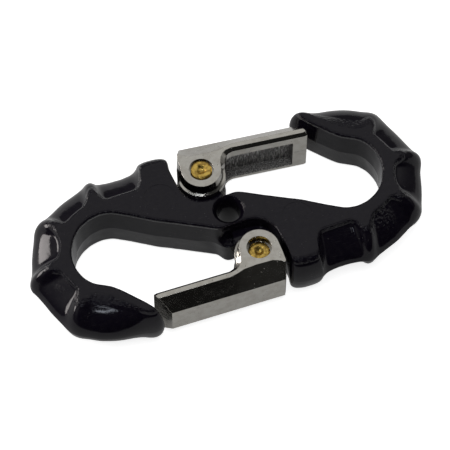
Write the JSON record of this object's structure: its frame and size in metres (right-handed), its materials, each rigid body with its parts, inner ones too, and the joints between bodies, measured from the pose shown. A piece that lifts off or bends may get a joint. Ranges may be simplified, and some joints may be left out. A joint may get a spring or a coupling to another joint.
{
  "type": "carabiner keyring",
  "caption": "S-shaped snap link for keys: cast frame with knuckled hooks and a cord hole in its web, spring-closed gates hinged on brass pins",
  "frame": {"origin": "on the axis of the centre hole, at the lowest level of the link lying flat", "axes": "+X along the link's length, +Y across it towards the upper gate, +Z through its thickness, away from the surface it lies on"},
  "size_m": [0.0738, 0.036, 0.0108],
  "materials": {
    "black_paint": "semi-gloss black over a zinc casting",
    "bright_nickel": "bright plated casting, lightly scratched",
    "brass": "bare, peened ends",
    "spring_steel": "drawn wire"
  },
  "bodies": {
    "frame": {"link_frame": "black_paint", "upper_pin": "brass", "lower_pin": "brass"},
    "upper_gate": {"upper_gate": "bright_nickel", "upper_spring": "spring_steel"},
    "lower_gate": {"lower_gate": "bright_nickel", "lower_spring": "spring_steel"}
  },
  "joints": [
    {"name": "upper_gate_hinge", "type": "hinge", "parent": "frame", "child": "upper_gate", "pos_m": [-0.0027, 0.00885, 0.0054], "axis": [0, 0, 1], "range_deg": [-34, 0], "stiffness_Nm_per_rad": 0.06, "springref_deg": 34.38, "deforming": ["upper_spring"]},
    {"name": "lower_gate_hinge", "type": "hinge", "parent": "frame", "child": "lower_gate", "pos_m": [0.0032, -0.00895, 0.0054], "axis": [0, 0, 1], "range_deg": [-34, 0], "stiffness_Nm_per_rad": 0.06, "springref_deg": 34.38, "deforming": ["lower_spring"]}
  ]
}
